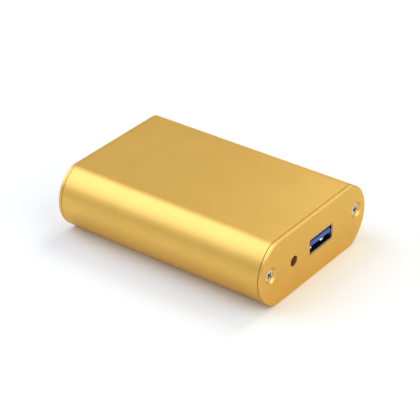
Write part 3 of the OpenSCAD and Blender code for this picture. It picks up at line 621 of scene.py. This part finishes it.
for width, corners in tracks:
    line = [Vector((x, y)) for x, y in corners]
    rows = []
    for i, point in enumerate(line):
        ahead = (line[min(i + 1, len(line) - 1)] - point).normalized()
        behind = (point - line[max(i - 1, 0)]).normalized()
        along = (ahead + behind).normalized()
        half = Vector((-along.y, along.x)) * width / 2 / max(along.dot(ahead), along.dot(behind))
        rows.append([bm.verts.new((p.x * mm, p.y * mm, board_top)) for p in (point - half, point + half)])
    for (a, b), (d, c) in zip(rows, rows[1:]):
        bm.faces.new((a, d, c, b))
raised = bmesh.ops.extrude_face_region(bm, geom=list(bm.faces))["geom"]
bmesh.ops.translate(bm, verts=[g for g in raised if isinstance(g, bmesh.types.BMVert)],
                    vec=(0, 0, track_height))
for x, y in vias:
    at = Matrix.Translation((x * mm, y * mm, board_top + track_height))
    bmesh.ops.create_cone(bm, cap_ends=False, segments=small_round_segments, radius1=via_radius,
                          radius2=via_bore, depth=2 * track_height, matrix=at)
bmesh.ops.recalc_face_normals(bm, faces=bm.faces)
finish_piece(bm, "board_tracks", "board", None, "board_green", track_green)


# The chips: black moulded packages on tinned legs, soldered to the board's upper face.
# The moulds leave drafted sides, a parting line and a round dimple beside the first leg.
# Filled resin, matt and faintly speckled
chip_epoxy = grained_material("moulded_chip_epoxy", "#161618", "#26262a", 0.2, (0.52, 0.68), 0.15)
# Dull bright tin, slightly wavy where it froze
tinned = grained_material("tinned_copper_lead", "#a9a9a4", "#cfcfca", 0.4, (0.26, 0.42), 0.2,
                          {"Metallic": 1.0})
chip_draft = 0.985
chip_dimple_depth = 0.08 * mm
chip_dimple_inset = 3
chip_dimple_segments = 24


def chip_package(bm, low, high, dimple_mm):
    """A moulded package between two corners, with a dimple near one corner of its top."""
    before = set(bm.verts)
    size = high - low
    top = [bm.verts.new((x * size.x / 2 * chip_draft, y * size.y / 2 * chip_draft, 0))
           for x, y in ((-1, -1), (1, -1), (1, 1), (-1, 1))]
    ring = [bm.edges.new((top[i - 1], top[i])) for i in range(4)]
    inset = chip_dimple_inset * dimple_mm * mm
    centre = Matrix.Translation((inset - size.x / 2, size.y / 2 - inset, 0))
    spot = bmesh.ops.create_circle(bm, segments=chip_dimple_segments, radius=dimple_mm * mm,
                                   matrix=centre)["verts"]
    lip = list({e for v in spot for e in v.link_edges})
    bmesh.ops.triangle_fill(bm, use_beauty=True, edges=ring + lip)
    sunk = bmesh.ops.extrude_edge_only(bm, edges=lip)["geom"]
    floor_points = [g for g in sunk if isinstance(g, bmesh.types.BMVert)]
    bmesh.ops.translate(bm, verts=floor_points, vec=(0, 0, -chip_dimple_depth))
    bmesh.ops.contextual_create(bm, geom=[g for g in sunk if isinstance(g, bmesh.types.BMEdge)
                                          and set(floor_points).issuperset(g.verts)])
    ring = grown_ring(bm, ring, 1 / chip_draft, -size.z / 2)
    ring = grown_ring(bm, ring, chip_draft, -size.z / 2)
    bmesh.ops.contextual_create(bm, geom=ring)
    middle = (low + high) / 2
    bmesh.ops.translate(bm, verts=[v for v in bm.verts if v not in before], vec=(middle.x, middle.y, high.z))


def shapes_of(bm):
    """The separate shapes of a mesh, each as a list of its points, in a fixed order."""
    seen, shapes = set(), []
    for start in bm.verts:
        if start not in seen:
            seen.add(start)
            shape, edge = [], [start]
            while edge:
                point = edge.pop()
                shape.append(point)
                for other in (link.other_vert(point) for link in point.link_edges):
                    if other not in seen:
                        seen.add(other)
                        edge.append(other)
            shapes.append(shape)
    return shapes


def box_of(points):
    """The low and high corners of the box round some points."""
    return (Vector([min(p.co[i] for p in points) for i in range(3)]),
            Vector([max(p.co[i] for p in points) for i in range(3)]))


def node_boxes(node):
    """The boxes of the separate shapes of a CAD node."""
    bm = merged_copy(node)
    boxes = [box_of(shape) for shape in shapes_of(bm)]
    bm.free()
    return boxes


# Radius in millimetres of the dimple in each package
chip_dimples = {"receiver_chip": 0.6, "controller_chip": 0.4, "memory_chip": 0.3, "regulators": 0.35}
for node, dimple_mm in chip_dimples.items():
    bm = bmesh.new()
    for low, high in node_boxes(node):
        chip_package(bm, low, high, dimple_mm)
    bmesh.ops.recalc_face_normals(bm, faces=bm.faces)
    ease_edges(bm, 0.05, sharp_deg=25)
    finish_piece(bm, node + "_moulded", "board", node, "chip_epoxy", chip_epoxy)
for node in ("receiver_leads", "memory_leads", "regulator_leads", "lamp_leads"):
    dressed_copy(node, "board", "tinned_lead", tinned, 0.03)


# The solder: bright fillets at every foot and round every tail that comes through the board.
# It was molten, so it has soft slopes and no sharp edge.
# Shiny tin alloy with the faint frosting of a cooled surface
solder = grained_material("cooled_solder", "#b4b5b2", "#dcdcd8", 0.3, (0.20, 0.36), 0.25, {"Metallic": 1.0})
# How far a fillet spreads, its height, and the share of the spread that is left at its top
fillet_spread = 0.16 * mm
fillet_height = 0.12 * mm
fillet_top = 0.25
# Place and shortening of the fillets at a chip part's ends, as shares of its length
end_fillet_at = 0.36
end_fillet_short = 0.72
# The controller's pads: how many each side of the middle, their pitch, half their width,
# and their reach inside and outside the package's edge
pad_count = 9
pad_pitch = 0.5 * mm
pad_half = 0.02 * mm
pad_inside = 0.2 * mm
pad_outside = 0.1 * mm
# The cone of solder round a tail under the board, and how far down only tails reach
tail_below = 0.5 * mm
tail_tip = 0.3 * mm
tail_root = 0.62 * mm
tail_height = 0.6 * mm


def add_fillet(bm, low, high, height):
    """A low slope of solder round a rectangle on the board's upper face."""
    size = high - low
    middle = (low + high) / 2
    at = Matrix.Translation((middle.x, middle.y, board_top + height / 2))
    spread = Matrix.Diagonal((size.x + 2 * fillet_spread, size.y + 2 * fillet_spread, height, 1))
    base = bmesh.ops.create_cube(bm, size=1, matrix=at @ spread)
    for v in base["verts"]:
        if v.co.z > board_top + height / 2:
            v.co.x = middle.x + math.copysign(size.x / 2 + fillet_top * fillet_spread, v.co.x - middle.x)
            v.co.y = middle.y + math.copysign(size.y / 2 + fillet_top * fillet_spread, v.co.y - middle.y)


bm = bmesh.new()
for node in ("receiver_leads", "memory_leads", "regulator_leads", "video_contacts_upper",
             "video_contacts_lower"):
    leads = merged_copy(node)
    for shape in shapes_of(leads):
        add_fillet(bm, *box_of([p for p in shape if p.co.z < board_top + flat_slack]), fillet_height)
    leads.free()
for node in ("chip_capacitors", "chip_resistors"):
    for low, high in node_boxes(node):
        size = high - low
        along = Vector((1, 0, 0)) if size.x > size.y else Vector((0, 1, 0))
        for sign in (-1, 1):
            shift = along * sign * end_fillet_at * max(size.x, size.y)
            shrink = (Vector((1, 1, 0)) - along * end_fillet_short) / 2
            middle = (low + high) / 2 + shift
            half = Vector((size.x * shrink.x, size.y * shrink.y, 0))
            add_fillet(bm, middle - half, middle + half, 2 * fillet_height)
for low, high in node_boxes("controller_chip"):
    middle, reach = (low + high) / 2, (high.x - low.x) / 2
    for turn in range(4):
        row = Matrix.Rotation(math.radians(90 * turn), 3, "Z")
        for step in range(-pad_count, pad_count + 1):
            offset = step * pad_pitch
            pad = [(reach - pad_inside, offset + pad_half), (reach - pad_inside, offset - pad_half),
                   (reach + pad_outside, offset)]
            corners = [middle + row @ Vector((x, y, 0)) for x, y in pad]
            add_fillet(bm, Vector([min(c[i] for c in corners) for i in range(3)]),
                       Vector([max(c[i] for c in corners) for i in range(3)]), fillet_height)
for node in ("data_contacts_short", "data_contacts_long", "lamp_leads"):
    leads = merged_copy(node)
    for shape in shapes_of(leads):
        low, high = box_of([p for p in shape if p.co.z < board_under - tail_below])
        middle = (low + high) / 2
        at = Matrix.Translation((middle.x, middle.y, board_under - tail_height / 2))
        bmesh.ops.create_cone(bm, cap_ends=True, segments=small_round_segments, radius1=tail_tip,
                              radius2=tail_root, depth=tail_height, matrix=at)
    leads.free()
bmesh.ops.recalc_face_normals(bm, faces=bm.faces)
ease_edges(bm, 0.05, sharp_deg=30)
finish_piece(bm, "solder_fillets", "board", None, "tinned_lead", solder)


# The crystals, inductors and reservoir capacitors: the larger parts that stand on the board.
# Drawn metal cans, pressed ferrite blocks, and aluminium cans crimped over black bases.
# Drawn aluminium, bright with a faint even grain
can_metal = grained_material("drawn_can_metal", "#b3b5b6", "#cfd1d2", 0.5, (0.20, 0.32), 0.10,
                             {"Metallic": 1.0})
# Pressed and sintered oxide powder, dull and grainy
ferrite = grained_material("sintered_ferrite", "#2b2b2e", "#454549", 0.25, (0.68, 0.85), 0.5)
# Matt printing ink on the can's top, which marks one side
mark_ink = grained_material("black_marking_ink", "#121214", "#1c1c1f", 0.3, (0.5, 0.65), 0.1)
dressed_copy("receiver_crystal", "board", "can_metal", can_metal, 0.35)
dressed_copy("controller_crystal", "board", "can_metal", can_metal, 0.15)
dressed_copy("power_inductors", "board", "ferrite_grey", ferrite, 0.20)
dressed_copy("reservoir_bases", "board", "black_plastic", black_plastic, 0.10)
# Radius and height of the can's wall: the crimp over the base, the side and the rolled shoulder
can_wall = [(2.95, 0.0), (3.15, 0.12), (3.15, 0.55), (2.95, 0.75), (2.95, 0.95), (3.15, 1.15),
            (3.15, 4.15), (3.08, 4.42), (2.90, 4.56), (2.65, 4.60)]
can_score_span = 3.6 * mm
can_score_width = 0.22 * mm
can_score_depth = 0.12 * mm
can_score_taper = 0.97
can_score_root = 1
can_mark_at = 1.3 * mm
can_mark_depth = 0.1 * mm
bm = bmesh.new()
for low, high in node_boxes("reservoir_cans"):
    before = set(bm.verts)
    rim = bmesh.ops.create_circle(bm, segments=round_segments, radius=can_wall[-1][0] * mm)["verts"]
    ring = list({e for v in rim for e in v.link_edges})
    score = cross_outline(bm, can_score_span, can_score_width, can_score_root)
    bmesh.ops.triangle_fill(bm, use_beauty=True, edges=ring + score)
    score = grown_ring(bm, score, can_score_taper, -can_score_depth)
    bmesh.ops.contextual_create(bm, geom=score)
    for (radius, height), (next_radius, next_height) in zip(can_wall[::-1], can_wall[-2::-1]):
        ring = grown_ring(bm, ring, next_radius / radius, (next_height - height) * mm)
    bmesh.ops.contextual_create(bm, geom=ring)
    can = [v for v in bm.verts if v not in before]
    faces = list({f for v in can for f in v.link_faces})
    bmesh.ops.bisect_plane(bm, geom=can + list({e for v in can for e in v.link_edges}) + faces,
                           plane_co=(can_mark_at, 0, 0), plane_no=(1, 0, 0))
    can = [v for v in bm.verts if v not in before]
    for face in {f for v in can for f in v.link_faces}:
        centre = face.calc_center_median()
        face.material_index = int(centre.x > can_mark_at and centre.z > -can_mark_depth)
    middle = (low + high) / 2
    bmesh.ops.translate(bm, verts=can, vec=(middle.x, middle.y, high.z))
bmesh.ops.recalc_face_normals(bm, faces=bm.faces)
finish_piece(bm, "reservoir_cans_crimped", "board", "reservoir_cans", "can_metal", can_metal, mark_ink)


# The small chip capacitors and resistors: fired ceramic blocks with metal caps at both ends.
# The capacitors are tan all through, and the resistors are white alumina under a black glaze.
# Fired dielectric with a soft sheen
ceramic_tan = grained_material("fired_ceramic_tan", "#8d7250", "#a98b64", 0.3, (0.40, 0.55), 0.15)
# White substrate that shows at a resistor's sides
alumina = grained_material("white_alumina", "#d6d6d0", "#eeeee9", 0.3, (0.45, 0.6), 0.15)
# Glassy black overcoat
black_glaze = grained_material("black_glass_glaze", "#0f0f12", "#1b1b20", 0.5, (0.18, 0.30), 0.1)
cap_share = 0.24
cap_swell = 0.03 * mm
glaze_from = 0.7


def add_block(bm, low, high, material_index):
    """A block between two corners whose faces take one of the piece's materials."""
    size = high - low
    made = bmesh.ops.create_cube(bm, size=1, matrix=Matrix.Translation((low + high) / 2)
                                 @ Matrix.Diagonal((size.x, size.y, size.z, 1)))
    for face in {f for v in made["verts"] for f in v.link_faces}:
        face.material_index = material_index


for node, slot, coat in (("chip_capacitors", "ceramic_tan", None),
                         ("chip_resistors", "resistor_black", black_glaze)):
    bm = bmesh.new()
    for low, high in node_boxes(node):
        along = 0 if high.x - low.x > high.y - low.y else 1
        body_low, body_high = low + Vector((1, 1, 0)) * cap_swell, high - Vector((1, 1, 1)) * cap_swell
        seam = low.z + glaze_from * (high.z - low.z)
        if coat:
            add_block(bm, body_low, Vector((body_high.x, body_high.y, seam)), 0)
            add_block(bm, Vector((body_low.x, body_low.y, seam)), body_high, 2)
        else:
            add_block(bm, body_low, body_high, 0)
        for sign in (0, 1):
            cap_low, cap_high = low.copy(), high.copy()
            length = (high[along] - low[along]) * cap_share
            if sign:
                cap_low[along] = high[along] - length
            else:
                cap_high[along] = low[along] + length
            add_block(bm, cap_low, cap_high, 1)
    ease_edges(bm, 0.04)
    layers = (alumina, tinned, coat) if coat else (ceramic_tan, tinned)
    finish_piece(bm, node + "_capped", "board", node, slot, *layers)
